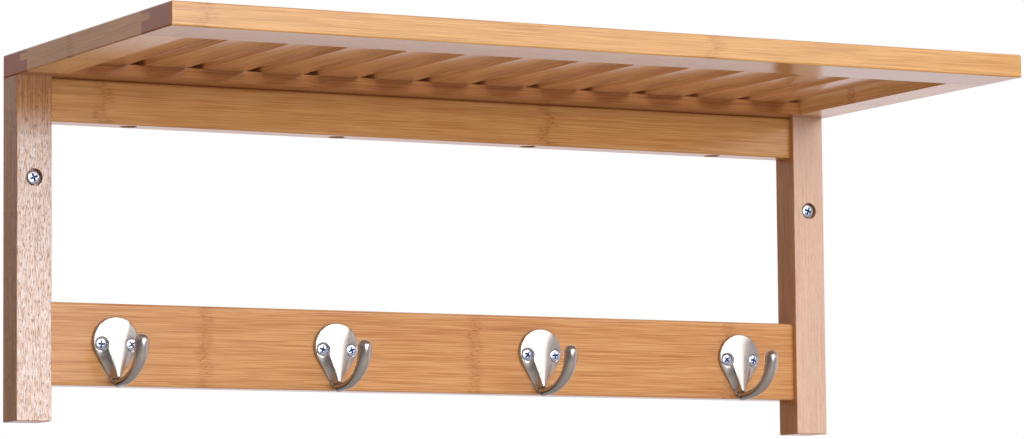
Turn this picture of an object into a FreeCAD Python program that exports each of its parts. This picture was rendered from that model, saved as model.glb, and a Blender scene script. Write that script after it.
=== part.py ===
import FreeCAD, Part
import os
from math import asin, cos, pi, sin

os.makedirs("parts", exist_ok=True)

# A wall rack of solid bamboo: a slatted shelf on two square posts, a plain rail under the shelf
# and a taller rail below with four cast hooks. All sizes are millimetres.
# X runs along the rack, Y into the wall and Z up. The origin lies in the plane of the wall,
# midway between the two wall screws.

# Shelf frame
rack_length = 600.0
shelf_depth = 270.0
shelf_thickness = 15.0
front_rail_width = 45.0
back_rail_width = 41.0
shelf_end_width = 28.0
shelf_round = 1.0
groove_height = 4.5
groove_depth = 12.0
groove_drop = 2.6  # from the top of the shelf down to the groove

# Slats, which lie in the grooves at the front and the back
slat_count = 13
slat_width = 29.0
slat_round = 1.2
slat_end_play = 0.5

# Posts
upright_width = 24.0
upright_depth = 24.0
upright_height = 220.0
upright_round = 1.0

# Rails between the posts
rail_depth = 19.5
top_rail_height = 28.0
hook_rail_height = 53.0
hook_rail_drop = 143.5  # from the underside of the shelf to the top of the hook rail
rail_round = 2.0

# Wall screws, one through each post
wall_screw_drop = 65.0  # from the underside of the shelf to their axes
wall_screw_length = 40.0
wall_screw_shank_radius = 1.9
wall_screw_thread_radius = 2.4
wall_screw_head_radius = 4.5
wall_screw_head_height = 2.6
wall_screw_sink = 1.5  # from the front of the post down to the head
wall_bore_radius = 5.65
wall_bore_depth = 4.0

# Shelf screws, up through the top rail into the back rail of the shelf
shelf_screw_shares = (-0.394, -0.124, 0.135, 0.396)  # places along the rail, by its length
shelf_screw_shank_radius = 2.0
shelf_screw_head_radius = 4.0
shelf_screw_head_height = 2.4
shelf_screw_grip = 9.0  # thread in the shelf
shelf_bore_radius = 5.6
shelf_bore_depth = 14.0

# Dowels
dowel_radius = 3.0
dowel_chamfer = 0.6
upright_dowel_rise = 8.0  # into the shelf
upright_dowel_depth = 12.0  # into the post
rail_dowel_length = 30.0
post_socket_share = 0.9  # of the wood between the side of the post and the dowel in its top
hook_rail_dowel_share = 0.27  # of the rail's height, above and below its middle

# Hooks
hook_shares = (-0.419, -0.1362, 0.1386, 0.4196)  # places along the rail, by its length
hook_drop = 8.5  # from the top of the hook rail to the top of the plate
plate_width = 31.5
plate_height = 44.0
plate_toe_radius = 1.5
plate_rim = 2.8
plate_toe_rim = 1.0
plate_draft_share = 0.5  # of the toe's radius
crest_height = 7.2
relief_levels_shares = (-0.1, 0.15, 0.35, 0.5, 0.7, 0.905)  # down the plate, by its height
crest_shares = (0.4, 0.6, 0.72, 0.8, 0.9, 1.0)  # height of the ridge, by the crest's height
shoulder_shares = (0.37, 0.53, 0.61, 0.7, 0.83, 0.95)  # height of its shoulders, by the same
shoulder_width_shares = (0.54, 0.54, 0.48, 0.39, 0.235, 0.085)  # by half of the plate's width
foot_width_shares = (1.1, 1.1, 1.0, 0.91, 0.57, 0.215)  # by half of the plate's width
floor_shares = (0.75, 0.9, 1.0, 0.93, 0.6, 0.36)  # height of the hollows' outer edge, by the rim's
hollow_sag_shares = (0.01, 0.01, 0.03, 0.07, 0.095, 0.04)  # depth of the hollows, by their width
prong_reach = 49.2  # from the rail to the front of the prong
prong_top_drop = 13.6  # from the top of the plate to the top of the prong
prong_sag = 1.7  # below the toe of the plate
prong_lead = 8.5
prong_tip_rise = 1.2
prong_root_radius = 3.1
prong_tip_radius = 4.75
prong_toe_inset = 1.0
prong_flare_shares = (0.0, 0.05, 0.2, 0.45, 0.8, 1.0)  # from the root's radius to the tip's

# Hook screws, two to a hook
hook_screw_spacing = 21.0
hook_screw_drop = 18.0  # below the top of the plate
hook_screw_stand = 3.2  # from the rail to the face of the head
hook_screw_length = 16.0
hook_screw_shank_radius = 1.7
hook_screw_head_radius = 3.8
hook_screw_head_height = 1.9
hook_recess_radius = 4.3

# All screws and holes
head_dome_share = 0.16  # of the head's radius
point_share = 2.2  # of the shank's radius
fit_gap = 0.1
overrun = 3.0
same_place = 0.001

# Places that follow from the sizes above
shelf_under = wall_screw_drop
shelf_top = shelf_under + shelf_thickness
half_length = rack_length / 2
inner_half_length = half_length - shelf_end_width
window_front = front_rail_width - shelf_depth
window_back = -back_rail_width
upright_inner = half_length - upright_width
upright_middle = half_length - upright_width / 2
upright_bottom = shelf_under - upright_height
rail_length = 2 * upright_inner
rail_middle = -rail_depth / 2
top_rail_bottom = shelf_under - top_rail_height
hook_rail_top = shelf_under - hook_rail_drop
hook_rail_bottom = hook_rail_top - hook_rail_height
plate_top = hook_rail_top - hook_drop
groove_top = shelf_top - groove_drop
groove_bottom = groove_top - groove_height
post_socket_depth = (upright_width / 2 - dowel_radius) * post_socket_share

ALONG = FreeCAD.Vector(1, 0, 0)
INWARD = FreeCAD.Vector(0, 1, 0)
UP = FreeCAD.Vector(0, 0, 1)


def block(x_range, y_range, z_range):
    """A box between two places on each axis."""
    low = FreeCAD.Vector(x_range[0], y_range[0], z_range[0])
    high = FreeCAD.Vector(x_range[1], y_range[1], z_range[1])
    size = high - low
    return Part.makeBox(size.x, size.y, size.z, low)


def rounded(shape, radius, corners):
    """Rounds the edges that lie in both planes of a corner. A plane is an axis and its place."""
    chosen = []
    for edge in shape.Edges:
        for corner in corners:
            gaps = [abs(getattr(v.Point, axis) - place) for axis, place in corner for v in edge.Vertexes]
            if max(gaps) < same_place:
                chosen.append(edge)
    return shape.makeFillet(radius, chosen)


def bar(x_range, y_range, z_range, radius):
    """A timber along X with its four long edges rounded."""
    corners = [(("y", y), ("z", z)) for y in y_range for z in z_range]
    return rounded(block(x_range, y_range, z_range), radius, corners)


def rod(start, direction, length, radius):
    return Part.makeCylinder(radius, length, start, direction)


def dowel(middle, direction, length):
    """A dowel with chamfered ends, centred on a point."""
    start = middle - direction * (length / 2)
    body = rod(start, direction, length, dowel_radius)
    rims = [edge for edge in body.Edges if isinstance(edge.Curve, Part.Circle)]
    return body.makeChamfer(dowel_chamfer, rims)


def socket(middle, direction, length):
    """The hole that a dowel sits in."""
    start = middle - direction * (length / 2 + fit_gap)
    return rod(start, direction, length + 2 * fit_gap, dowel_radius + fit_gap)


def screw(face, direction, length, head_radius, head_height, shank_radius, thread=None):
    """A countersunk screw with a slightly domed head, from the rim of its head to its point.
    Where the thread is wider than the shank, it is given by its radius and the depth of its start."""
    def at(radius, depth):
        return FreeCAD.Vector(radius, 0, depth)

    dome = head_radius * head_dome_share
    thread_radius = thread[0] if thread else shank_radius
    point = thread_radius * point_share
    step = [at(shank_radius, thread[1]), at(thread_radius, thread[1])] if thread else []
    crown = at(head_radius * cos(pi / 4), -dome * sin(pi / 4))
    arc = Part.Arc(at(0, -dome), crown, at(head_radius, 0)).toShape()
    side = Part.makePolygon([
        at(head_radius, 0),
        at(shank_radius, head_height),
        *step,
        at(thread_radius, length - point),
        at(0, length),
        at(0, -dome),
    ])
    outline = Part.Wire([arc] + side.Edges)
    turned = Part.Face(outline).revolve(FreeCAD.Vector(0, 0, 0), UP, 360)
    turned.Placement = FreeCAD.Placement(face, FreeCAD.Rotation(UP, direction))
    return turned


def groove_cut(y_range):
    """The long slot in the inner edge of a shelf rail, open at both ends."""
    x_range = (-half_length - overrun, half_length + overrun)
    return block(x_range, y_range, (groove_bottom, groove_top))


def shelf_front_rail():
    front = -shelf_depth
    board = block((-half_length, half_length), (front, window_front), (shelf_under, shelf_top))
    ends = [("x", -half_length), ("x", half_length)]
    corners = [(("y", front), ("z", z)) for z in (shelf_under, shelf_top)]
    corners += [(end, ("z", z)) for end in ends for z in (shelf_under, shelf_top)]
    corners += [(end, ("y", front)) for end in ends]
    board = rounded(board, shelf_round, corners)
    return board.cut(groove_cut((window_front - groove_depth, window_front + overrun)))


def upright_dowel_middle(side):
    height = shelf_under + (upright_dowel_rise - upright_dowel_depth) / 2
    return FreeCAD.Vector(side * upright_middle, -upright_depth / 2, height)


def shelf_back_rail():
    board = block((-half_length, half_length), (window_back, 0), (shelf_under, shelf_top))
    ends = [("x", -half_length), ("x", half_length)]
    corners = [(("y", 0), ("z", shelf_top))]
    corners += [(end, ("z", z)) for end in ends for z in (shelf_under, shelf_top)]
    corners += [(end, ("y", 0)) for end in ends]
    board = rounded(board, shelf_round, corners)
    board = board.cut(groove_cut((window_back - overrun, window_back + groove_depth)))
    for side in (-1, 1):
        length = upright_dowel_rise + upright_dowel_depth
        board = board.cut(socket(upright_dowel_middle(side), UP, length))
    for place in shelf_screw_places():
        pilot_start = FreeCAD.Vector(place, rail_middle, shelf_under - overrun)
        pilot_length = overrun + shelf_screw_grip + fit_gap
        board = board.cut(rod(pilot_start, UP, pilot_length, shelf_screw_shank_radius + fit_gap))
    return board


def shelf_end(side):
    """A short rail of the frame. Its tongues fill the ends of the grooves."""
    outer = side * half_length
    x_range = sorted((outer, side * inner_half_length))
    board = block(x_range, (window_front, window_back), (shelf_under, shelf_top))
    corners = [(("x", outer), ("z", z)) for z in (shelf_under, shelf_top)]
    board = rounded(board, shelf_round, corners)
    tongue_range = (window_front - groove_depth, window_back + groove_depth)
    return board.fuse(block(x_range, tongue_range, (groove_bottom, groove_top))).removeSplitter()


def slat(index):
    """One slat. The slats and the gaps beside them share the length of the frame's window."""
    gap = (2 * inner_half_length - slat_count * slat_width) / (slat_count + 1)
    left = -inner_half_length + gap + index * (slat_width + gap)
    reach = groove_depth - slat_end_play
    y_range = (window_front - reach, window_back + reach)
    z_range = (groove_bottom, groove_top)
    x_range = (left, left + slat_width)
    corners = [(("x", x), ("z", z)) for x in x_range for z in z_range]
    return rounded(block(x_range, y_range, z_range), slat_round, corners)


def upright(side):
    """A square post with a counterbored hole for its wall screw and sockets for the dowels."""
    x_range = sorted((side * half_length, side * upright_inner))
    y_range = (-upright_depth, 0)
    post = block(x_range, y_range, (upright_bottom, shelf_under))
    corners = [(("x", x), ("y", y)) for x in x_range for y in y_range]
    corners += [(("x", x), ("z", upright_bottom)) for x in x_range]
    corners += [(("y", y), ("z", upright_bottom)) for y in y_range]
    post = rounded(post, upright_round, corners)
    axis_start = FreeCAD.Vector(side * upright_middle, -upright_depth - overrun, 0)
    post = post.cut(rod(axis_start, INWARD, overrun + wall_bore_depth, wall_bore_radius))
    clear_length = upright_depth + 2 * overrun
    post = post.cut(rod(axis_start, INWARD, clear_length, wall_screw_thread_radius + fit_gap))
    post = post.cut(socket(upright_dowel_middle(side), UP, upright_dowel_rise + upright_dowel_depth))
    for middle in rail_dowel_middles(side):
        post = post.cut(socket(middle, ALONG, rail_dowel_length))
    return post


def rail_dowel_middles(side):
    """One dowel at each end of the top rail and two at each end of the hook rail."""
    place = side * (upright_inner + post_socket_depth - rail_dowel_length / 2)
    hook_rail_middle = (hook_rail_top + hook_rail_bottom) / 2
    spread = hook_rail_height * hook_rail_dowel_share
    heights = [(shelf_under + top_rail_bottom) / 2, hook_rail_middle - spread, hook_rail_middle + spread]
    return [FreeCAD.Vector(place, rail_middle, height) for height in heights]


def shelf_screw_places():
    return [share * rail_length for share in shelf_screw_shares]


def hook_places():
    return [share * rail_length for share in hook_shares]


def top_rail():
    """The plain rail, with four deep holes from below for the shelf screws."""
    rail = bar((-upright_inner, upright_inner), (-rail_depth, 0), (top_rail_bottom, shelf_under), rail_round)
    for place in shelf_screw_places():
        start = FreeCAD.Vector(place, rail_middle, top_rail_bottom - overrun)
        rail = rail.cut(rod(start, UP, overrun + shelf_bore_depth, shelf_bore_radius))
        clear_length = top_rail_height + 2 * overrun
        rail = rail.cut(rod(start, UP, clear_length, shelf_screw_shank_radius + fit_gap))
    for side in (-1, 1):
        rail = rail.cut(socket(rail_dowel_middles(side)[0], ALONG, rail_dowel_length))
    return rail


def hook_screw_faces(place):
    """Where the heads of a hook's two screws end."""
    height = plate_top - hook_screw_drop
    out = -rail_depth - hook_screw_stand
    return [FreeCAD.Vector(place + side * hook_screw_spacing / 2, out, height) for side in (-1, 1)]


def hook_rail():
    rail = bar((-upright_inner, upright_inner), (-rail_depth, 0), (hook_rail_bottom, hook_rail_top), rail_round)
    for place in hook_places():
        for face in hook_screw_faces(place):
            rail = rail.cut(rod(face, INWARD, hook_screw_length + fit_gap, hook_screw_shank_radius + fit_gap))
    for side in (-1, 1):
        for middle in rail_dowel_middles(side)[1:]:
            rail = rail.cut(socket(middle, ALONG, rail_dowel_length))
    return rail


def teardrop(out, inset):
    """The plate's outline: a large arc above and a small one at the toe, with tangents between."""
    head = plate_width / 2 - inset
    toe = plate_toe_radius - inset
    head_height = plate_top - plate_width / 2
    toe_height = plate_top - plate_height + plate_toe_radius
    lean = asin((head - toe) / (head_height - toe_height))

    def at(radius, centre, angle):
        return FreeCAD.Vector(radius * cos(angle), -rail_depth - out, centre + radius * sin(angle))

    right_head = at(head, head_height, -lean)
    left_head = at(head, head_height, pi + lean)
    right_toe = at(toe, toe_height, -lean)
    left_toe = at(toe, toe_height, pi + lean)
    return Part.Wire([
        Part.Arc(right_head, at(head, head_height, pi / 2), left_head).toShape(),
        Part.LineSegment(left_head, left_toe).toShape(),
        Part.Arc(left_toe, at(toe, toe_height, -pi / 2), right_toe).toShape(),
        Part.LineSegment(right_toe, right_head).toShape(),
    ])


def relief_section(level_share, crest_share, shoulder_share, shoulder_width, foot_width,
                   floor_share, sag_share):
    """A level cut through the plate: flat behind, and in front a ridge between two rounded hollows.
    Near the top its shoulders and feet lie far apart, and the ridge is a low dome."""
    height = plate_top - level_share * plate_height
    floor = floor_share * plate_rim
    edge = plate_width / 2 + overrun

    def at(x, out):
        return FreeCAD.Vector(x, -rail_depth - out, height)

    def half(side):
        shoulder = at(side * shoulder_width * plate_width / 2, shoulder_share * crest_height)
        foot = at(side * foot_width * plate_width / 2, floor)
        chord = foot - shoulder
        middle = shoulder + chord / 2 + UP.cross(chord) * side * sag_share
        hollow = Part.Arc(shoulder, middle, foot).toShape()
        return shoulder, hollow, [foot, at(side * edge, floor), at(side * edge, 0)]

    left_shoulder, left_hollow, left = half(-1)
    right_shoulder, right_hollow, right = half(1)
    ridge = Part.Arc(left_shoulder, at(0, crest_share * crest_height), right_shoulder).toShape()
    back = Part.makePolygon(right + left[::-1]).Edges
    return Part.Wire([ridge, right_hollow] + back + [left_hollow])


def plate():
    """The cast plate: the relief, kept where it lies inside the teardrop, whose sides have draft."""
    cuts = zip(relief_levels_shares, crest_shares, shoulder_shares, shoulder_width_shares,
               foot_width_shares, floor_shares, hollow_sag_shares)
    relief = Part.makeLoft([relief_section(*cut) for cut in cuts], True)
    inset = plate_toe_radius * plate_draft_share
    outline = Part.makeLoft([teardrop(0, 0), teardrop(crest_height + overrun, inset)], True)
    toe = outline.common(block((-plate_width, plate_width), (-rail_depth - plate_toe_rim, 0),
                               (plate_top - plate_height, plate_top)))
    return relief.common(outline).fuse(toe)


def prong():
    """The prong: straight out of the toe, up a quarter of an ellipse and into a round tip."""
    root_height = plate_top - plate_height - prong_sag + prong_root_radius
    tip_out = prong_reach - prong_tip_radius
    tip_height = plate_top - prong_top_drop - prong_tip_radius
    bend_height = tip_height - prong_tip_rise
    reach = tip_out - prong_lead
    rise = bend_height - root_height

    def ring(out, height, direction, radius):
        centre = FreeCAD.Vector(0, -rail_depth - out, height)
        return Part.Wire([Part.Circle(centre, direction, radius).toShape()])

    toe_radius = plate_toe_radius
    rings = [ring(prong_toe_inset, root_height, -INWARD, toe_radius)]
    steps = len(prong_flare_shares) - 1
    for step, share in enumerate(prong_flare_shares):
        turn = step / steps * pi / 2
        out = prong_lead + reach * sin(turn)
        height = bend_height - rise * cos(turn)
        direction = FreeCAD.Vector(0, -reach * cos(turn), rise * sin(turn))
        radius = prong_root_radius + share * (prong_tip_radius - prong_root_radius)
        rings.append(ring(out, height, direction, radius))
    rings.append(ring(tip_out, tip_height, UP, prong_tip_radius))
    stem = Part.makeLoft(rings, True)
    tip = Part.makeSphere(prong_tip_radius, FreeCAD.Vector(0, -rail_depth - tip_out, tip_height))
    return stem.fuse(tip)


def hook(place):
    """A one-piece casting: teardrop plate, prong and two countersunk holes."""
    body = plate().fuse(prong())
    for face in hook_screw_faces(0):
        seat_depth = hook_screw_head_height + fit_gap
        seat = Part.makeCone(hook_recess_radius, hook_screw_shank_radius + fit_gap, seat_depth, face, INWARD)
        mouth = rod(face - INWARD * crest_height, INWARD, crest_height, hook_recess_radius)
        hole = rod(face, INWARD, hook_screw_length, hook_screw_shank_radius + fit_gap)
        body = body.cut(seat.fuse(mouth).fuse(hole))
    body.translate(ALONG * place)
    return body


def hook_screws():
    sizes = (hook_screw_length, hook_screw_head_radius, hook_screw_head_height, hook_screw_shank_radius)
    faces = [face for place in hook_places() for face in hook_screw_faces(place)]
    return Part.makeCompound([screw(face, INWARD, *sizes) for face in faces])


def wall_screws():
    """The two wall screws. The smooth part of each lies in its post and the thread goes into the wall."""
    sizes = (wall_screw_length, wall_screw_head_radius, wall_screw_head_height, wall_screw_shank_radius)
    out = -upright_depth + wall_screw_sink
    thread = (wall_screw_thread_radius, -out)
    faces = [FreeCAD.Vector(side * upright_middle, out, 0) for side in (-1, 1)]
    return Part.makeCompound([screw(face, INWARD, *sizes, thread) for face in faces])


def shelf_screws():
    length = top_rail_height - shelf_bore_depth + shelf_screw_head_height + shelf_screw_grip
    sizes = (length, shelf_screw_head_radius, shelf_screw_head_height, shelf_screw_shank_radius)
    height = top_rail_bottom + shelf_bore_depth - shelf_screw_head_height
    faces = [FreeCAD.Vector(place, rail_middle, height) for place in shelf_screw_places()]
    return Part.makeCompound([screw(face, UP, *sizes) for face in faces])


def upright_dowels():
    length = upright_dowel_rise + upright_dowel_depth
    return Part.makeCompound([dowel(upright_dowel_middle(side), UP, length) for side in (-1, 1)])


def rail_dowels():
    middles = [middle for side in (-1, 1) for middle in rail_dowel_middles(side)]
    return Part.makeCompound([dowel(middle, ALONG, rail_dowel_length) for middle in middles])


pieces = {
    "shelf_front_rail": shelf_front_rail(),
    "shelf_back_rail": shelf_back_rail(),
    "shelf_left_end": shelf_end(-1),
    "shelf_right_end": shelf_end(1),
    "left_upright": upright(-1),
    "right_upright": upright(1),
    "top_rail": top_rail(),
    "hook_rail": hook_rail(),
    "hook_screws": hook_screws(),
    "wall_screws": wall_screws(),
    "shelf_screws": shelf_screws(),
    "upright_dowels": upright_dowels(),
    "rail_dowels": rail_dowels(),
}
for index in range(slat_count):
    pieces["slat_%02d" % (index + 1)] = slat(index)
for index, place in enumerate(hook_places()):
    pieces["hook_%d" % (index + 1)] = hook(place)

for name, shape in pieces.items():
    shape.exportStep("parts/%s.step" % name)
    print(name, len(shape.Solids), "solids", round(shape.Volume / 1000, 2), "cm3", shape.isValid())
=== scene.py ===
"""A wall-hung bamboo coat rack: finishes, cast hooks, screws, studio and camera.

The rack's frame is loaded as it stands, in metres: X runs along the rack, Y into the wall and Z up.
The frame's boards, posts and rails keep their shapes and get their lacquered bamboo here.
Slats, hooks and screws are modelled here, each at the place that the frame gives it."""
import math
from functools import partial

import bpy
from bpy.props import FloatProperty, FloatVectorProperty, IntProperty, PointerProperty
from mathutils import Matrix, Vector


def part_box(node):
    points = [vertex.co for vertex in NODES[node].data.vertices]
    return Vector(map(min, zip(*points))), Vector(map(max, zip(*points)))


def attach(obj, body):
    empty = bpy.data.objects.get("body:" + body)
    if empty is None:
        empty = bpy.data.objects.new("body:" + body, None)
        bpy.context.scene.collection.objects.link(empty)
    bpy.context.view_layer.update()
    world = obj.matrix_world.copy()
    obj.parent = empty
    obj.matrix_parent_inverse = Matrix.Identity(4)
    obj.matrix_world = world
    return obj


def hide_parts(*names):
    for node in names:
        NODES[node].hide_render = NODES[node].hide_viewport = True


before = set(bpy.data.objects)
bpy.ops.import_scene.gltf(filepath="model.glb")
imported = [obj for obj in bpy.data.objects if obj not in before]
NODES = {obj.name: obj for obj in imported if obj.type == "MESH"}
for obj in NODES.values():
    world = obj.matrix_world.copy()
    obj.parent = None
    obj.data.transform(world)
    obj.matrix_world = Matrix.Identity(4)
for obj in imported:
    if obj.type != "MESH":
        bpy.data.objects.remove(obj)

bl_info = {
    "name": "Bamboo coat rack",
    "version": (1, 0, 0),
    "blender": (4, 5, 0),
    "location": "View3D > Sidebar > Coat rack",
    "description": "Lacquered bamboo, cast hooks, screws and a studio for a wall rack with a slatted shelf",
    "category": "Object",
}

MM = 0.001
X, Y, Z = range(3)
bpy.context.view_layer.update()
IMAGE_WIDTH = 1024
HOOKS = ["hook_1", "hook_2", "hook_3", "hook_4"]
SLATS = sorted(name for name in NODES if name.startswith("slat_"))


# Settings
def linear(value):
    return value / 12.92 if value <= 0.04045 else ((value + 0.055) / 1.055) ** 2.4


def hex_colour(code):
    """An sRGB hex colour as linear red, green, blue and alpha."""
    return tuple(linear(int(code[i:i + 2], 16) / 255) for i in (1, 3, 5)) + (1.0,)


def size(name, millimetres, description):
    """A length setting. Its default is given in millimetres."""
    return FloatProperty(name=name, description=description, default=millimetres * MM, min=0.0,
                         precision=5, unit="LENGTH")


def factor(name, default, description):
    return FloatProperty(name=name, description=description, default=default, min=0.0, max=1.0,
                         subtype="FACTOR")


def angle(name, degrees, description):
    """An angle setting. Its default is given in degrees."""
    return FloatProperty(name=name, description=description, default=math.radians(degrees), subtype="ANGLE")


def power(name, watts, description):
    return FloatProperty(name=name, description=description, default=watts, min=0.0, unit="POWER")


def level(name, default, description):
    """A strength of the light that the surroundings send."""
    return FloatProperty(name=name, description=description, default=default, min=0.0)


def colour(name, code, description):
    return FloatVectorProperty(name=name, description=description, default=hex_colour(code), size=4,
                               min=0.0, max=1.0, subtype="COLOR")


class RackBamboo(bpy.types.PropertyGroup):
    """The lacquered bamboo of all timbers."""
    shelf_light: colour("Shelf light", "#d9a45f", "Palest fibres of the shelf's front board")
    shelf_dark: colour("Shelf dark", "#b37839", "Darkest fibres of the shelf's front board")
    end_light: colour("End light", "#edba7e", "Palest fibres of the shelf's end boards")
    end_dark: colour("End dark", "#cb9055", "Darkest fibres of the shelf's end boards")
    # Painted shade: the rear board's tones are darker, so that its inner face, which little light reaches,
    # shows shade
    rear_light_shaded: colour("Rear light", "#bc834e", "Palest fibres of the shelf's rear board, a browner batch")
    rear_dark_shaded: colour("Rear dark", "#995f33", "Darkest fibres of the shelf's rear board")
    slat_light: colour("Slat light", "#e4aa6f", "Palest fibres of the slats")
    slat_dark: colour("Slat dark", "#c08049", "Darkest fibres of the slats")
    top_light: colour("Top rail light", "#e3ad6c", "Palest fibres of the rail under the shelf")
    top_dark: colour("Top rail dark", "#c28042", "Darkest fibres of the rail under the shelf")
    rail_light: colour("Hook rail light", "#dca56b", "Palest fibres of the rail that carries the hooks")
    rail_dark: colour("Hook rail dark", "#b87540", "Darkest fibres of the rail that carries the hooks")
    post_light: colour("Post light", "#dba26a", "Palest fibres of the posts")
    post_dark: colour("Post dark", "#b37340", "Darkest fibres of the posts")
    # Painted glare: the pale colour that stands in for the lamps' sheen on the posts' fronts
    painted_glare: colour("Bleached", "#f4e4dc", "Fibres that light has bleached")
    pore: colour("Pores", "#76503f", "Dust down in the open pores")
    mark: colour("Joint marks", "#9c5c2b", "Short dashes where the cane had its joints")
    end_grain: colour("End grain", "#b86c44", "Cut ends of the fibres")
    fibre_tone: factor("Fibre tone", 0.75, "Share of the tone that varies from fibre to fibre")
    streak_tone: factor("Streak tone", 0.16, "Share of the tone that varies from streak to streak")
    strip_tone: factor("Strip tone", 0.14, "Share of the tone that varies from strip to strip")
    patch_tone: factor("Patch tone", 0.16, "Share of the tone that varies over wide patches")
    joint_tone: factor("Joint tone", 0.16, "How much darker the wood is about a joint")
    strip: size("Strip", 5.0, "Width of one glued strip")
    fibre: size("Fibre", 0.5, "Width of the finest fibre that shows")
    streak: size("Streak", 1.9, "Width of the streaks that several fibres make")
    joint_zone: size("Joint zone", 7.5, "Half of the length over which a joint's dashes lie")
    grain_depth: size("Grain depth", 0.03, "Depth of the grain under the lacquer")
    roughness: factor("Roughness", 0.17, "Roughness of the satin lacquer")
    slat_round: size("Slat round", 1.0, "Rounding of the slats' long edges")
    slat_swell: size("Slat swell", 0.6, "How much thicker the slats are between the long boards")
    slat_play: size("Slat play", 0.4, "From a long board to that thicker part")


class RackHooks(bpy.types.PropertyGroup):
    """The cast hooks."""
    nickel: colour("Nickel", "#bdb6af", "Reflected colour of the nickel plate")
    voxel: size("Casting mesh", 0.42, "Spacing of the mesh, which also sets how soft the cast edges are")
    smoothing: IntProperty(name="Smoothing", description="Passes that round the cast edges", default=9, min=0)
    roughness: factor("Roughness", 0.3, "Roughness of the satin nickel")


class RackScrews(bpy.types.PropertyGroup):
    """Cross-head screws. Shares are of the head's radius."""
    zinc: colour("Zinc", "#ccd6ea", "Reflected colour of the bright zinc plate")
    # Painted shade: the plate is darkened towards this colour down in the cross
    recess: colour("Recess", "#2c3a5c", "Tint of the plate down in the cross")
    wing_share: factor("Wing length", 0.7, "Reach of a wing of the cross, as a share of the head's radius")
    width_share: factor("Wing width", 0.34, "Width of a wing, as a share of the head's radius")
    depth_share: factor("Cross depth", 0.42, "Depth of the cross, as a share of the head's radius")
    taper: factor("Taper", 0.45, "Size of the cross at its bottom, as a share of its size at the top")
    pitch: size("Thread pitch", 1.8, "From one turn of the wall screws' thread to the next")
    thread_root: size("Thread root", 1.75, "Radius at the bottom of the wall screws' thread")
    thread_crest: size("Thread crest", 2.4, "Radius at the top of the wall screws' thread")
    roughness: factor("Roughness", 0.2, "Roughness of the bright zinc plate")


class RackStudio(bpy.types.PropertyGroup):
    """Floor, lamps, surroundings and camera."""
    key_power: power("Key power", 25.0, "Power of the front lamp")
    key_turn: angle("Key turn", 3, "From straight in front, towards the right")
    key_rise: angle("Key rise", 3, "Height of the front lamp above the rack, as an angle")
    key_width: size("Key width", 1200.0, "Width of the front lamp")
    key_height: size("Key height", 800.0, "Height of the front lamp")
    top_power: power("Top power", 43.0, "Power of the large lamp above the front lamp")
    top_turn: angle("Top turn", 13, "From straight in front, towards the right")
    top_rise: angle("Top rise", 19, "Height of the large lamp above the rack, as an angle")
    top_width: size("Top width", 2600.0, "Width of the large lamp")
    top_height: size("Top height", 1200.0, "Height of the large lamp")
    lamp_distance: size("Lamp distance", 3000.0, "From the rack to both lamps")
    left_level: level("Left level", 0.2, "Light from the left, in front")
    back_level: level("Back level", 0.0, "Light from the left, behind the rack and low down")
    high_level: level("High level", 1.1, "Light from the left, behind the rack and higher up")
    right_level: level("Right level", 1.0, "Light from the right")
    above_share: factor("Above", 0.5, "Light from above, as a share of that from the right")
    surround: colour("Surround", "#fbf3fa", "Colour of the light from the surroundings")
    floor_drop: size("Floor drop", 1600.0, "From the wall screws down to the floor")
    floor_width: size("Floor width", 6000.0, "Width of the floor")
    floor_colour: colour("Floor", "#dbd8d1", "Colour of the floor")
    heading: angle("Heading", -27.841, "Turn of the camera about the vertical")
    rise: angle("Rise", 5.497, "Upward tilt of the camera")
    roll: angle("Roll", -0.533, "Roll of the camera")
    target: FloatVectorProperty(name="Target", description="Point at the middle of the picture",
                                default=(0.01445, -0.1, -0.02272), unit="LENGTH")
    distance: size("Distance", 2903.7, "From the camera to the target")
    focal_pixels: FloatProperty(name="Focal length", description="In pixels of a picture 1024 wide",
                                default=4460.5, subtype="PIXEL")


# Materials
MATHS, RAMP, MIX = "ShaderNodeMath", "ShaderNodeMapRange", "ShaderNodeMix"
NOISE, SPLIT, JOIN = "ShaderNodeTexNoise", "ShaderNodeSeparateXYZ", "ShaderNodeCombineXYZ"
COORDINATES, BUMP, SHADER = "ShaderNodeTexCoord", "ShaderNodeBump", "ShaderNodeBsdfPrincipled"
SMOOTH = {"interpolation_type": "SMOOTHSTEP"}  # for a ramp that eases in and out
COLOURS = {"data_type": "RGBA"}  # for a mix of colours, with the share in input 0 and the colours in 6 and 7


def node(tree, kind, links=(), **settings):
    """Adds a node. Settings are its properties. Links are its inputs, in their order or by their keys:
    a value, an output or a whole node, which stands for its first output in use."""
    made = tree.nodes.new(kind)
    for name, value in settings.items():
        setattr(made, name, value)
    for key, value in links.items() if isinstance(links, dict) else enumerate(links):
        if isinstance(value, bpy.types.Node):
            value = next(output for output in value.outputs if output.enabled)
        if isinstance(value, bpy.types.NodeSocket):
            tree.links.new(value, made.inputs[key])
        else:
            made.inputs[key].default_value = value
    return made


def new_material(name):
    mat = bpy.data.materials.new(name)
    mat.use_nodes = True
    mat.node_tree.nodes.clear()
    return mat


def surface(mat, shader):
    node(mat.node_tree, "ShaderNodeOutputMaterial", {"Surface": shader})
    return mat


def dress(names, mat):
    for name in names:
        for slot in NODES[name].material_slots:
            slot.material = mat


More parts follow.
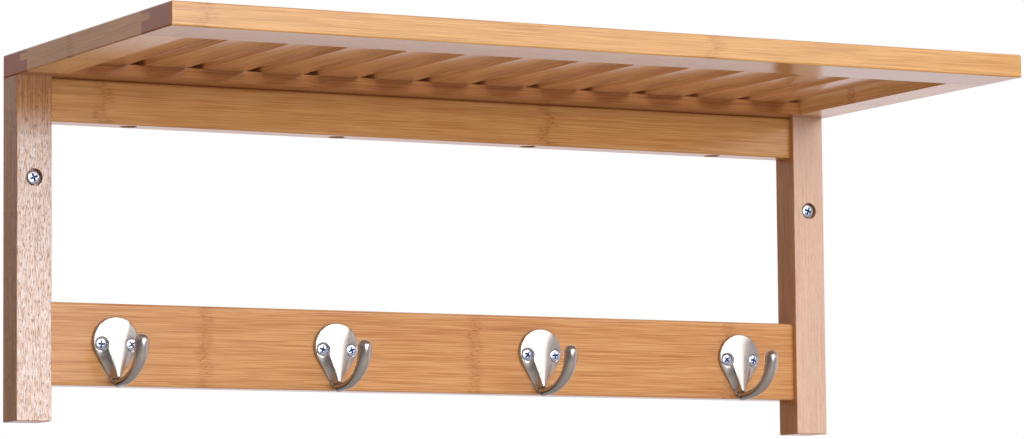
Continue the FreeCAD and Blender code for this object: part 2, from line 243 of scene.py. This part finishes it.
def bamboo(name, grain, stack, light, dark, joints, seed=0.0, pores=0.0, grain_share=1.0, glare_share=0.0,
           shelf_shadow_height=20 * MM):
    """Side-pressed bamboo: narrow strips glued side by side and sanded, under a satin lacquer.
    It gives long fine streaks that change from strip to strip, small dashes where the cane had
    its joints, darker end grain, and a gloss that turns to a mirror at a glancing angle.
    Grain and stack are the axes along the fibres and across the strips. Joints are the place
    of the first joint and the distance to the next, in metres. Pores says how open the grain is,
    and grain_share how deep it lies against the usual. The glare setting says how much painted glare,
    the lamps' sheen, is put into the colour of the face towards the room. Above the given height,
    a painted shadow of the shelf takes that glare away, and the face stays brown there."""
    settings = bpy.context.scene.rack_bamboo
    mat = new_material(name)
    add = partial(node, mat.node_tree)
    strip, fibre_width, streak_width = settings.strip, settings.fibre, settings.streak
    coordinates = add(COORDINATES).outputs
    place = add(SPLIT, [coordinates["Object"]]).outputs
    normal = add(SPLIT, [coordinates["Normal"]]).outputs
    along, across, depth = place[grain], place[stack], place[3 - grain - stack]
    # Each strip has its own tone, its own run of fibres and its own place for the joint
    row = add(MATHS, [across, strip], operation="SNAP")
    layer = add(MATHS, [depth, 4 * strip], operation="SNAP")
    strip_seed = add(JOIN, [row, layer, seed])
    chance = add("ShaderNodeTexWhiteNoise", {"Vector": strip_seed}, noise_dimensions="3D").outputs
    chances = add("ShaderNodeSeparateColor", [chance["Color"]]).outputs
    shift = add(MATHS, [chance["Value"], 40.0], operation="MULTIPLY")

    def grained(length, width, detail, roughness=0.55):
        """Noise drawn out along the fibres, with a run of its own in each strip."""
        scaled = add(JOIN, [
            add(MATHS, [along, 1 / length, shift], operation="MULTIPLY_ADD"),
            add(MATHS, [across, width], operation="DIVIDE"),
            add(MATHS, [depth, width], operation="DIVIDE")])
        return add(NOISE, {"Vector": scaled, "Scale": 1.0, "Detail": detail, "Roughness": roughness})

    # The tone varies with the fibres, the streaks, the strips and in wide patches. Noise lies about
    # its middle value of a half, so a ramp over a narrow range there sets light and dark apart
    fibre = grained(110 * fibre_width, fibre_width, 3.0, 0.6)
    streak = grained(50 * streak_width, streak_width, 2.0)
    patch = grained(150 * MM, 20 * MM, 1.0)
    tone = add(MATHS, [
        add(RAMP, [fibre, 0.42, 0.58, 0.0, settings.fibre_tone], **SMOOTH),
        add(RAMP, [streak, 0.4, 0.6, 0.0, settings.streak_tone], **SMOOTH)])
    tone = add(MATHS, [chances[0], settings.strip_tone, tone], operation="MULTIPLY_ADD")
    tone = add(MATHS, [tone, add(RAMP, [patch, 0.35, 0.65, 0.0, settings.patch_tone], **SMOOTH)])
    wood = add(MIX, {0: tone, 6: dark, 7: light}, **COLOURS)
    # A glue line shows faintly where two strips meet
    edge = add(MATHS, [across, strip / 2], operation="PINGPONG")
    glue = add(RAMP, [edge, 0.0, 0.05 * strip, 0.25, 0.0], **SMOOTH)
    wood = add(MIX, {0: glue, 6: wood, 7: dark}, **COLOURS)
    # About a joint of the cane the wood is a little darker, with short dashes
    first, spacing = joints
    zone_width = settings.joint_zone
    off = add(MATHS, [chances[1], zone_width, -first - zone_width / 2], operation="MULTIPLY_ADD")
    off = add(MATHS, [add(MATHS, [along, off]), spacing / 2, -spacing / 2], operation="WRAP")
    near = add(MATHS, [off], operation="ABSOLUTE")
    zone = add(RAMP, [near, 0.25 * zone_width, zone_width, 1.0, 0.0], **SMOOTH)
    shade = add(MATHS, [zone, settings.joint_tone], operation="MULTIPLY")
    wood = add(MIX, {0: shade, 6: wood, 7: dark}, **COLOURS)
    dashes = grained(8 * fibre_width, 1.5 * fibre_width, 2.0, 0.6)
    dashes = add(RAMP, [dashes, 0.49, 0.58, 0.0, 0.55], **SMOOTH)
    marks = add(MATHS, [zone, dashes], operation="MULTIPLY")
    wood = add(MIX, {0: marks, 6: wood, 7: settings.mark}, **COLOURS)
    # Painted glare: the face towards the room is paled in flecks where the grain is open, standing in for the
    # lamps' sheen, and a painted shadow of the shelf keeps it brown at the top
    facing = add(RAMP, [normal["Y"], -0.6, -0.9], **SMOOTH)
    outside_shelf_shadow = add(RAMP, [place["Z"], shelf_shadow_height + 30 * MM, shelf_shadow_height], **SMOOTH)
    flecks = grained(14 * fibre_width, 0.9 * fibre_width, 3.0, 0.7)
    flecks = add(RAMP, [flecks, 0.41, 0.53, max(0.25, 1 - 3 * pores)], **SMOOTH)
    glare = add(MATHS, [facing, glare_share], operation="MULTIPLY")
    glare = add(MATHS, [glare, outside_shelf_shadow], operation="MULTIPLY")
    glare = add(MATHS, [glare, flecks], operation="MULTIPLY")
    wood = add(MIX, {0: glare, 6: wood, 7: settings.painted_glare}, **COLOURS)
    # Pores are short open grooves between the fibres
    pore = add(RAMP, [grained(8 * fibre_width, fibre_width, 2.0, 0.6), 0.55, 0.66], **SMOOTH)
    dust = add(MATHS, [pore, min(1.6 * pores, 1.0)], operation="MULTIPLY")
    wood = add(MIX, {0: dust, 6: wood, 7: settings.pore}, **COLOURS)
    # Cut ends show the fibres' bundles as dots
    bundles = add("ShaderNodeTexVoronoi", {"Vector": coordinates["Object"], "Scale": 1 / (1.3 * fibre_width)})
    dots = add(RAMP, [bundles, 0.15, 0.5], **SMOOTH)
    cut = add(MIX, {0: dots, 6: settings.mark, 7: settings.end_grain}, **COLOURS)
    ends = add(RAMP, [add(MATHS, [normal[grain]], operation="ABSOLUTE"), 0.6, 0.85], **SMOOTH)
    wood = add(MIX, {0: ends, 6: wood, 7: cut}, **COLOURS)
    # The grain stands out a little under the lacquer, more so where it is open, and the pores are sunk
    coarse = add(MATHS, [streak, 3 * pores, fibre], operation="MULTIPLY_ADD")
    height = add(MATHS, [pore, -min(3 * pores, 0.8), coarse], operation="MULTIPLY_ADD")
    bump = add(BUMP, {"Height": height, "Strength": 1.0, "Distance": settings.grain_depth * grain_share})
    shader = add(SHADER, {"Base Color": wood, "Roughness": settings.roughness, "IOR": 1.5, "Normal": bump})
    return surface(mat, shader)


def turned_beech():
    """Fluted beech dowels, turned and left bare: pale, even and matt."""
    settings = bpy.context.scene.rack_bamboo
    mat = new_material("turned_beech")
    add = partial(node, mat.node_tree)
    place = add(COORDINATES).outputs["Object"]
    fleck = add(NOISE, {"Vector": place, "Scale": 1 / settings.streak, "Detail": 3.0})
    wood = add(MIX, {0: fleck, 6: settings.post_dark, 7: settings.post_light}, **COLOURS)
    return surface(mat, add(SHADER, {"Base Color": wood, "Roughness": 0.6}))


def satin_nickel():
    """Nickel plate on a tumbled zinc casting: a soft, slightly warm mirror whose gloss varies a little."""
    settings = bpy.context.scene.rack_hooks
    mat = new_material("satin_nickel_on_zinc_casting")
    add = partial(node, mat.node_tree)
    place = add(COORDINATES).outputs["Object"]
    # Tumbling marks are about 0.05 mm wide; they are drawn ten times as coarse, so that they show
    fine = add(NOISE, {"Vector": place, "Scale": 1 / (0.5 * MM), "Detail": 3.0})
    bump = add(BUMP, {"Height": fine, "Strength": 1.0, "Distance": 0.001 * MM})
    # Tumbling leaves the gloss a little uneven over some millimetres
    soft = add(NOISE, {"Vector": place, "Scale": 1 / (6 * MM), "Detail": 2.0})
    rough = add(RAMP, [soft, 0.3, 0.7, 0.85 * settings.roughness, 1.15 * settings.roughness])
    return surface(mat, add(SHADER, {
        "Base Color": settings.nickel, "Metallic": 1.0, "Roughness": rough, "Normal": bump}))


def bright_zinc():
    """Blue-passivated zinc plate on steel: bright and bluish, with painted shade down in the cross."""
    settings = bpy.context.scene.rack_screws
    mat = new_material("bright_zinc_plated_steel")
    add = partial(node, mat.node_tree)
    place = add(COORDINATES).outputs["Object"]
    # Painted shade: the plate darkens down in the cross, the more the deeper
    depth = add("ShaderNodeAttribute", attribute_name="recess").outputs["Fac"]
    tint = add(MIX, {0: depth, 6: settings.zinc, 7: settings.recess}, **COLOURS)
    # The plate's grain is finer than a tenth of a millimetre; it is drawn coarser, so that it shows
    fine = add(NOISE, {"Vector": place, "Scale": 1 / (0.6 * MM), "Detail": 2.0})
    bump = add(BUMP, {"Height": fine, "Strength": 1.0, "Distance": 0.002 * MM})
    return surface(mat, add(SHADER, {
        "Base Color": tint, "Metallic": 1.0, "Roughness": settings.roughness, "Normal": bump}))


# Modelling
def solids_along(name, gap=5 * MM):
    """The boxes of a node's separate solids, which lie apart along X."""
    points = sorted((v.co.copy() for v in NODES[name].data.vertices), key=lambda p: p.x)
    groups = [[points[0]]]
    for point in points[1:]:
        if point.x - groups[-1][-1].x > gap:
            groups.append([])
        groups[-1].append(point)
    boxes = []
    for group in groups:
        low = Vector([min(p[axis] for p in group) for axis in (X, Y, Z)])
        high = Vector([max(p[axis] for p in group) for axis in (X, Y, Z)])
        boxes.append((low, high))
    return boxes


def only(obj):
    """Makes an object the one that is selected and active."""
    if bpy.context.mode != "OBJECT":
        bpy.ops.object.mode_set(mode="OBJECT")
    bpy.ops.object.select_all(action="DESELECT")
    obj.hide_set(False)
    obj.select_set(True)
    bpy.context.view_layer.objects.active = obj


def pick(obj, test):
    """Selects, in edit mode, the faces that pass a test of their centre and normal."""
    bpy.ops.object.mode_set(mode="EDIT")
    bpy.ops.mesh.select_mode(type="FACE")
    bpy.ops.mesh.select_all(action="DESELECT")
    bpy.ops.object.mode_set(mode="OBJECT")
    for face in obj.data.polygons:
        face.select = test(face.center, face.normal)
    bpy.ops.object.mode_set(mode="EDIT")


def draw_out(height, step, scale):
    """Extrudes the picked face along Z from a height, by a step, and scales its far end."""
    bpy.ops.mesh.extrude_region_move(TRANSFORM_OT_translate={"value": (0, 0, step)})
    bpy.ops.transform.resize(value=(scale, scale, 1), center_override=(0, 0, height + step))


def modify(obj, kind, **settings):
    """Adds a modifier with its settings and applies it."""
    only(obj)
    modifier = obj.modifiers.new(kind.lower(), kind)
    for name, value in settings.items():
        setattr(modifier, name, value)
    bpy.ops.object.modifier_apply(modifier=modifier.name)


def copy_of(obj, name, matrix):
    """A copy with its own mesh, which a matrix puts in place."""
    mesh = obj.data.copy()
    mesh.name = name
    mesh.transform(matrix)
    twin = bpy.data.objects.new(name, mesh)
    bpy.context.scene.collection.objects.link(twin)
    return twin


def add_piece(piece, node_name):
    """Puts a finished piece in the place of its node."""
    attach(piece, "root")
    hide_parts(node_name)


DOME_SHARE = 0.16  # height of a screw head's dome, by the head's radius
TIP_SHARE = 0.04  # width left at a screw's point, by that where the point starts


def cross_cutter(radius, top):
    """The cross of a screw's head, as a tool: four wings about a square core, drawn in below."""
    settings = bpy.context.scene.rack_screws
    width = radius * settings.width_share
    depth = radius * settings.depth_share
    wing = radius * settings.wing_share - width / 2
    bpy.ops.mesh.primitive_cube_add(size=1.0, location=(0, 0, top - depth / 2), scale=(width, width, depth))
    tool = bpy.context.active_object
    bpy.ops.object.transform_apply(location=True, rotation=True, scale=True)
    pick(tool, lambda centre, normal: abs(normal.z) < 0.5)
    bpy.ops.mesh.extrude_faces_move(TRANSFORM_OT_shrink_fatten={"value": wing})
    pick(tool, lambda centre, normal: normal.z < -0.5)
    taper = settings.taper
    bpy.ops.transform.resize(value=(taper, taper, 1), center_override=(0, 0, top - depth))
    pick(tool, lambda centre, normal: normal.z > 0.5)
    bpy.ops.mesh.extrude_region_move(TRANSFORM_OT_translate={"value": (0, 0, radius)})
    bpy.ops.object.mode_set(mode="OBJECT")
    return tool


def model_screw(name, head_radius, head_height, shank_radius, length, point):
    """A cross-head screw. It looks up Z, with the rim of its head at zero height."""
    dome = DOME_SHARE * head_radius
    rim = 0.06 * head_radius
    bpy.ops.mesh.primitive_cylinder_add(vertices=64, radius=head_radius, depth=rim, location=(0, 0, -rim / 2))
    screw = bpy.context.active_object
    screw.name = name
    bpy.ops.object.transform_apply(location=True, rotation=True, scale=True)
    # The dome of the head, in rings that follow an arc
    pick(screw, lambda centre, normal: normal.z > 0.5)
    rings = 6
    reach, height = head_radius, 0.0
    for ring in range(1, rings + 1):
        turn = ring / rings * math.pi / 2
        next_reach = max(head_radius * math.cos(turn), 0.02 * head_radius)
        next_height = dome * math.sin(turn)
        draw_out(height, next_height - height, next_reach / reach)
        reach, height = next_reach, next_height
    # The cone under the head, the shank and the point
    pick(screw, lambda centre, normal: normal.z < -0.5)
    draw_out(-rim, rim - head_height, shank_radius / head_radius)
    draw_out(-head_height, head_height + point - length, 1.0)
    draw_out(point - length, -point, TIP_SHARE)
    bpy.ops.object.mode_set(mode="OBJECT")
    tool = cross_cutter(head_radius, dome)
    modify(screw, "BOOLEAN", operation="DIFFERENCE", object=tool, solver="EXACT")
    bpy.data.objects.remove(tool)
    modify(screw, "BEVEL", width=0.03 * head_radius, segments=2, limit_method="ANGLE",
           angle_limit=math.radians(35))
    # How deep each point lies in the cross, which sets how much painted shade it gets
    settings = bpy.context.scene.rack_screws
    depth = head_radius * settings.depth_share
    reach = head_radius * (settings.wing_share + 0.04)
    recess = screw.data.attributes.new("recess", "FLOAT", "POINT")
    for vertex, value in zip(screw.data.vertices, recess.data):
        across = math.hypot(vertex.co.x, vertex.co.y) / reach
        surface_height = dome * math.cos(across * math.pi / 4)
        inside = across < 1 and vertex.co.z > -1.2 * depth
        sunk = (surface_height - 0.05 * head_radius - vertex.co.z) / (0.5 * depth)
        value.value = min(max(sunk, 0.0), 1.0) if inside else 0.0
    only(screw)
    bpy.ops.object.shade_smooth_by_angle(angle=math.radians(30))
    return screw


def model_thread(name, root, crest, pitch, length, point):
    """A wood screw's thread: a ridge of three-cornered section in a long helix, cut to a point at its end."""
    base = 0.8 * root
    bpy.ops.mesh.primitive_circle_add(vertices=3, radius=1.0, rotation=(math.pi / 2, 0, 0))
    thread = bpy.context.active_object
    thread.name = name
    bpy.ops.object.transform_apply(location=True, rotation=True, scale=True)
    bpy.ops.object.mode_set(mode="EDIT")
    bpy.ops.mesh.select_all(action="SELECT")
    # One corner of the section becomes the crest, the other two lie inside the root
    bpy.ops.transform.rotate(value=-math.pi / 2, orient_axis="Y", center_override=(0, 0, 0))
    bpy.ops.transform.resize(value=((crest - base) / 1.5, 1, 0.45 * pitch), center_override=(0, 0, 0))
    bpy.ops.object.mode_set(mode="OBJECT")
    reach = max(v.co.x for v in thread.data.vertices)
    thread.data.transform(Matrix.Translation((crest - reach, 0, 0)))
    modify(thread, "SCREW", angle=2 * math.pi, screw_offset=-pitch, iterations=math.ceil(length / pitch),
           steps=24, render_steps=24, use_merge_vertices=False)
    only(thread)
    bpy.ops.object.mode_set(mode="EDIT")
    bpy.ops.mesh.select_all(action="SELECT")
    bpy.ops.mesh.fill_holes(sides=0)
    bpy.ops.mesh.select_all(action="SELECT")
    bpy.ops.mesh.normals_make_consistent(inside=False)
    bpy.ops.object.mode_set(mode="OBJECT")
    # A plain body with a point trims the end
    bpy.ops.mesh.primitive_cylinder_add(vertices=48, radius=crest, depth=length - point,
                                        location=(0, 0, (point - length) / 2))
    trim = bpy.context.active_object
    bpy.ops.object.transform_apply(location=True, rotation=True, scale=True)
    pick(trim, lambda centre, normal: normal.z < -0.5)
    draw_out(point - length, -point, TIP_SHARE)
    bpy.ops.object.mode_set(mode="OBJECT")
    modify(thread, "BOOLEAN", operation="INTERSECT", object=trim, solver="EXACT")
    bpy.data.objects.remove(trim)
    return thread


TOWARDS_ROOM = Matrix.Rotation(math.pi / 2, 4, "X")
DOWNWARDS = Matrix.Rotation(math.pi, 4, "X")


def place_screws(model, node_name, places):
    """Plates a screw, puts a copy of it at each place and clears the model away."""
    model.data.materials.append(bright_zinc())
    for index, place in enumerate(places):
        add_piece(copy_of(model, "%s_%d" % (model.name, index + 1), place), node_name)
    bpy.data.objects.remove(model)


# Operators
class RACK_OT_shelf_frame(bpy.types.Operator):
    """Lacquers the four boards of the shelf's frame"""
    bl_idname = "rack.shelf_frame"
    bl_label = "Shelf frame"

    def execute(self, context):
        settings = context.scene.rack_bamboo
        front_board = bamboo("lacquered_bamboo_front_board", X, Z, settings.shelf_light, settings.shelf_dark,
                             joints=(-0.2766, 0.347), seed=1.0)
        # The rear board's darker tones are painted shade
        shaded_rear_board = bamboo("lacquered_bamboo_rear_board", X, Z, settings.rear_light_shaded, settings.rear_dark_shaded,
                            joints=(-0.1, 0.347), seed=8.0)
        short_boards = bamboo("lacquered_bamboo_shelf_ends", Y, X, settings.end_light, settings.end_dark,
                              joints=(-0.11, 0.3), seed=2.0)
        dress(["shelf_front_rail"], front_board)
        dress(["shelf_back_rail"], shaded_rear_board)
        dress(("shelf_left_end", "shelf_right_end"), short_boards)
        return {"FINISHED"}


class RACK_OT_slats(bpy.types.Operator):
    """Makes the shelf's slats, which are thicker between the long boards than in the grooves"""
    bl_idname = "rack.slats"
    bl_label = "Slats"

    def execute(self, context):
        settings = context.scene.rack_bamboo
        low, high = (Vector(corner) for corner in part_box(SLATS[0]))
        front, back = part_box("shelf_front_rail")[1][Y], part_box("shelf_back_rail")[0][Y]
        bpy.ops.mesh.primitive_cube_add(size=1.0, location=(low + high) / 2, scale=high - low)
        slat = bpy.context.active_object
        slat.name = "slat_model"
        bpy.ops.object.transform_apply(location=True, rotation=True, scale=True)
        bpy.ops.object.mode_set(mode="EDIT")
        for place in (front + settings.slat_play, back - settings.slat_play):
            bpy.ops.mesh.select_all(action="SELECT")
            bpy.ops.mesh.bisect(plane_co=(0, place, 0), plane_no=(0, 1, 0))
        pick(slat, lambda centre, normal: normal.z > 0.5 and front < centre.y < back)
        bpy.ops.mesh.extrude_region_move(TRANSFORM_OT_translate={"value": (0, 0, settings.slat_swell)})
        bpy.ops.object.mode_set(mode="OBJECT")
        modify(slat, "BEVEL", width=settings.slat_round, segments=3, limit_method="ANGLE",
               angle_limit=math.radians(60), use_clamp_overlap=True)
        only(slat)
        bpy.ops.object.shade_smooth_by_angle(angle=math.radians(15))
        mat = bamboo("lacquered_bamboo_slats", Y, X, settings.slat_light, settings.slat_dark,
                     joints=(-0.2, 0.31), seed=3.0)
        slat.data.materials.append(mat)
        for name in SLATS:
            offset = Vector(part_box(name)[0]) - low
            add_piece(copy_of(slat, "bevelled_%s" % name, Matrix.Translation(offset)), name)
        bpy.data.objects.remove(slat)
        return {"FINISHED"}


class RACK_OT_posts(bpy.types.Operator):
    """Lacquers the two posts, with painted glare on their fronts, the left one most"""
    bl_idname = "rack.posts"
    bl_label = "Posts"

    def execute(self, context):
        tones = (context.scene.rack_bamboo.post_light, context.scene.rack_bamboo.post_dark)
        # Painted glare on the fronts: strong on the left post, weaker on the right one, whose painted shelf
        # shadow starts higher up
        left = bamboo("lacquered_bamboo_left_post", Z, Y, *tones, joints=(0.4, 0.9), seed=4.0, pores=0.42,
                      grain_share=7.0, glare_share=0.95)
        right = bamboo("lacquered_bamboo_right_post", Z, Y, *tones, joints=(0.4, 0.9), seed=5.0, pores=0.1,
                       grain_share=5.0, glare_share=0.45, shelf_shadow_height=55 * MM)
        dress(["left_upright"], left)
        dress(["right_upright"], right)
        return {"FINISHED"}


class RACK_OT_rails(bpy.types.Operator):
    """Lacquers the rail under the shelf and the rail that carries the hooks"""
    bl_idname = "rack.rails"
    bl_label = "Rails"

    def execute(self, context):
        settings = context.scene.rack_bamboo
        top = bamboo("lacquered_bamboo_top_rail", X, Z, settings.top_light, settings.top_dark,
                     joints=(-0.2378, 0.323), seed=6.0)
        low = bamboo("lacquered_bamboo_hook_rail", X, Z, settings.rail_light, settings.rail_dark,
                     joints=(-0.1682, 0.1963), seed=7.0)
        dress(["top_rail"], top)
        dress(["hook_rail"], low)
        return {"FINISHED"}


class RACK_OT_dowels(bpy.types.Operator):
    """Gives the hidden dowels their bare beech"""
    bl_idname = "rack.dowels"
    bl_label = "Dowels"

    def execute(self, context):
        dress(("upright_dowels", "rail_dowels"), turned_beech())
        return {"FINISHED"}


class RACK_OT_hooks(bpy.types.Operator):
    """Makes the four cast hooks, with the soft edges of a casting"""
    bl_idname = "rack.hooks"
    bl_label = "Hooks"

    def execute(self, context):
        settings = context.scene.rack_hooks
        first = copy_of(NODES[HOOKS[0]], "cast_hook", Matrix.Identity(4))
        first.data.materials.clear()
        first.data.materials.append(satin_nickel())
        only(first)
        bpy.ops.object.mode_set(mode="EDIT")
        bpy.ops.mesh.select_all(action="SELECT")
        bpy.ops.mesh.remove_doubles(threshold=0.005 * MM)
        bpy.ops.object.mode_set(mode="OBJECT")
        modify(first, "REMESH", mode="VOXEL", voxel_size=settings.voxel, use_smooth_shade=True)
        modify(first, "SMOOTH", factor=0.5, iterations=settings.smoothing)
        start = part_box(HOOKS[0])[0]
        for name in HOOKS:
            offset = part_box(name)[0] - start
            add_piece(copy_of(first, "cast_%s" % name, Matrix.Translation(offset)), name)
        bpy.data.objects.remove(first)
        return {"FINISHED"}


class RACK_OT_hook_screws(bpy.types.Operator):
    """Makes the eight screws that hold the hooks"""
    bl_idname = "rack.hook_screws"
    bl_label = "Hook screws"

    def execute(self, context):
        boxes = solids_along("hook_screws")
        low, high = boxes[0]
        radius = (high.z - low.z) / 2
        dome = DOME_SHARE * radius
        model = model_screw("hook_screw", radius, head_height=0.5 * radius, shank_radius=0.45 * radius,
                            length=high.y - low.y - dome, point=radius)
        places = []
        for index, (low, high) in enumerate(boxes):
            face = Vector(((low.x + high.x) / 2, low.y + dome, (low.z + high.z) / 2))
            # Each screw stopped at its own turn
            turn = Matrix.Rotation(math.radians(37 * index % 90), 4, "Z")
            places.append(Matrix.Translation(face) @ TOWARDS_ROOM @ turn)
        place_screws(model, "hook_screws", places)
        return {"FINISHED"}


class RACK_OT_wall_screws(bpy.types.Operator):
    """Makes the two screws that hold the rack to the wall"""
    bl_idname = "rack.wall_screws"
    bl_label = "Wall screws"

    def execute(self, context):
        settings = context.scene.rack_screws
        boxes = solids_along("wall_screws")
        low, high = boxes[0]
        radius = (high.z - low.z) / 2
        face_y = low.y + DOME_SHARE * radius
        root, crest = settings.thread_root, settings.thread_crest
        point = 2.2 * crest
        model = model_screw("wall_screw", radius, head_height=0.58 * radius, shank_radius=root,
                            length=high.y - face_y, point=point)
        # The thread starts at the wall, at the back of the post, and is sunk a little into its root
        thread = model_thread("wall_screw_thread", 0.97 * root, crest, settings.pitch, high.y, point)
        thread.data.transform(Matrix.Translation((0, 0, face_y)))
        only(model)
        thread.select_set(True)
        bpy.ops.object.join()
        places = []
        for index, (low, high) in enumerate(boxes):
            face = Vector(((low.x + high.x) / 2, face_y, (low.z + high.z) / 2))
            turn = Matrix.Rotation(math.radians(20 + 50 * index), 4, "Z")
            places.append(Matrix.Translation(face) @ TOWARDS_ROOM @ turn)
        place_screws(model, "wall_screws", places)
        return {"FINISHED"}


class RACK_OT_shelf_screws(bpy.types.Operator):
    """Makes the four screws up in the holes of the top rail"""
    bl_idname = "rack.shelf_screws"
    bl_label = "Shelf screws"

    def execute(self, context):
        boxes = solids_along("shelf_screws")
        low, high = boxes[0]
        radius = (high.y - low.y) / 2
        dome = DOME_SHARE * radius
        model = model_screw("shelf_screw", radius, head_height=0.6 * radius, shank_radius=0.5 * radius,
                            length=high.z - low.z - dome, point=radius)
        faces = [Vector(((low.x + high.x) / 2, (low.y + high.y) / 2, low.z + dome)) for low, high in boxes]
        place_screws(model, "shelf_screws", [Matrix.Translation(face) @ DOWNWARDS for face in faces])
        return {"FINISHED"}


class RACK_OT_studio(bpy.types.Operator):
    """Sets up the floor, the lamps, the surroundings and the camera"""
    bl_idname = "rack.studio"
    bl_label = "Studio"

    def execute(self, context):
        settings = context.scene.rack_studio
        self.add_floor(settings)
        for part in ("key", "top"):
            turn, rise, width, height, watts = (
                getattr(settings, "%s_%s" % (part, name))
                for name in ("turn", "rise", "width", "height", "power"))
            self.add_lamp("%s_lamp" % part, turn, rise, settings.lamp_distance, width, height, watts)
        self.add_world(settings)
        self.add_camera(settings)
        context.scene.view_settings.view_transform = "Standard"
        return {"FINISHED"}

    def add_floor(self, settings):
        bpy.ops.mesh.primitive_plane_add(size=settings.floor_width, location=(0, 0, -settings.floor_drop))
        floor = bpy.context.active_object
        floor.name = "studio_floor"
        bpy.ops.object.transform_apply(location=True, rotation=True, scale=True)
        # Paint, rolled on: matt and even, with a sheen that is only just cloudy
        mat = new_material("matt_painted_floor")
        add = partial(node, mat.node_tree)
        place = add(COORDINATES).outputs["Object"]
        cloud = add(NOISE, {"Vector": place, "Scale": 1.5, "Detail": 2.0})
        rough = add(RAMP, {0: cloud, 3: 0.7, 4: 0.9})
        surface(mat, add(SHADER, {"Base Color": settings.floor_colour, "Roughness": rough}))
        floor.data.materials.append(mat)

    def add_lamp(self, name, turn, rise, distance, width, height, watts):
        """A rectangular lamp that faces the rack."""
        data = bpy.data.lights.new(name, "AREA")
        data.shape = "RECTANGLE"
        data.size = width
        data.size_y = height
        data.energy = watts
        lamp = bpy.data.objects.new(name, data)
        bpy.context.scene.collection.objects.link(lamp)
        place = Matrix.Rotation(turn, 4, "Z") @ Matrix.Rotation(-rise, 4, "X") @ Vector((0, -distance, 0))
        lamp.matrix_world = Matrix.Translation(place) @ (-place).to_track_quat("-Z", "Y").to_matrix().to_4x4()
        lamp.visible_camera = False

    def add_world(self, settings):
        """White to the camera. The light on the rack and in its gloss is white from the right and dim
        from the left. Behind the rack, the left is dark low down and bright higher up.
        From overhead the light is half as bright as from the right."""
        world = bpy.data.worlds.new("studio")
        bpy.context.scene.world = world
        world.use_nodes = True
        world.node_tree.nodes.clear()
        add = partial(node, world.node_tree)
        above = settings.above_share
        # The levels change with the direction, whose parts run from -1 to 1
        x, y, z = add(SPLIT, [add(COORDINATES).outputs["Generated"]]).outputs
        front = add(RAMP, [z, 0.2, 0.45, settings.left_level, above], **SMOOTH)
        overhead = add(RAMP, [z, 0.3, 0.5], **SMOOTH)
        back = add(MIX, {0: overhead, 2: settings.high_level, 3: above})
        raised = add(RAMP, [z, 0.1, 0.16], **SMOOTH)
        back = add(MIX, {0: raised, 2: settings.back_level, 3: back})
        left = add(MIX, {0: add(RAMP, [y, 0.3, 0.75], **SMOOTH), 2: front, 3: back})
        beside = add(RAMP, [y, -0.75, -0.35, 0.3, 1.0], **SMOOTH)
        right = add(MIX, {0: beside, 2: settings.left_level, 3: settings.right_level})
        low_down = add(RAMP, [z, 0.55, 0.25, above, 1.0], **SMOOTH)
        right = add(MATHS, [right, low_down], operation="MULTIPLY")
        lit = add(MIX, {0: add(RAMP, [x, -0.25, 0.3], **SMOOTH), 2: left, 3: right})
        # The gloss shows the backdrop as white as the camera does, behind the rack at the right
        path = add("ShaderNodeLightPath").outputs
        mirrored = add(MATHS, [path["Is Glossy Ray"], path["Is Transmission Ray"]])
        behind = add(RAMP, [y, 0.1, 0.4], **SMOOTH)
        behind = add(MATHS, [behind, add(RAMP, [x, 0.0, 0.3], **SMOOTH)], operation="MULTIPLY")
        shown = add(MATHS, [mirrored, behind], operation="MULTIPLY")
        shown = add(MATHS, [shown, path["Is Camera Ray"]], use_clamp=True)
        strength = add(MIX, {0: shown, 2: lit, 3: 1.0})
        tint = add(MIX, {0: path["Is Camera Ray"], 6: settings.surround, 7: hex_colour("#ffffff")}, **COLOURS)
        background = add("ShaderNodeBackground", {"Color": tint, "Strength": strength})
        add("ShaderNodeOutputWorld", {"Surface": background})

    def add_camera(self, settings):
        data = bpy.data.cameras.new("camera")
        camera = bpy.data.objects.new("camera", data)
        bpy.context.scene.collection.objects.link(camera)
        turn = (Matrix.Rotation(settings.heading, 4, "Z")
                @ Matrix.Rotation(math.pi / 2 + settings.rise, 4, "X")
                @ Matrix.Rotation(settings.roll, 4, "Z"))
        back = turn.to_3x3() @ Vector((0, 0, settings.distance))
        camera.matrix_world = Matrix.Translation(Vector(settings.target) + back) @ turn
        data.lens = settings.focal_pixels / IMAGE_WIDTH * data.sensor_width
        data.clip_end = 50.0
        bpy.context.scene.camera = camera


STEPS = (
    RACK_OT_shelf_frame,
    RACK_OT_slats,
    RACK_OT_posts,
    RACK_OT_rails,
    RACK_OT_dowels,
    RACK_OT_hooks,
    RACK_OT_hook_screws,
    RACK_OT_wall_screws,
    RACK_OT_shelf_screws,
    RACK_OT_studio,
)


class RACK_PT_parts(bpy.types.Panel):
    """Lists the rack's pieces and the studio"""
    bl_idname = "RACK_PT_parts"
    bl_label = "Coat rack"
    bl_space_type = "VIEW_3D"
    bl_region_type = "UI"
    bl_category = "Coat rack"

    def draw(self, context):
        for step in STEPS:
            self.layout.operator(step.bl_idname)


SETTINGS = {
    "rack_bamboo": RackBamboo,
    "rack_hooks": RackHooks,
    "rack_screws": RackScrews,
    "rack_studio": RackStudio,
}
CLASSES = (*SETTINGS.values(), *STEPS, RACK_PT_parts)


def register():
    for cls in CLASSES:
        bpy.utils.register_class(cls)
    for name, cls in SETTINGS.items():
        setattr(bpy.types.Scene, name, PointerProperty(type=cls))


def unregister():
    for name in SETTINGS:
        delattr(bpy.types.Scene, name)
    for cls in reversed(CLASSES):
        bpy.utils.unregister_class(cls)


def main():
    register()
    bpy.ops.rack.shelf_frame()
    bpy.ops.rack.slats()
    bpy.ops.rack.posts()
    bpy.ops.rack.rails()
    bpy.ops.rack.dowels()
    bpy.ops.rack.hooks()
    bpy.ops.rack.hook_screws()
    bpy.ops.rack.wall_screws()
    bpy.ops.rack.shelf_screws()
    bpy.ops.rack.studio()


if __name__ == "__main__":
    main()
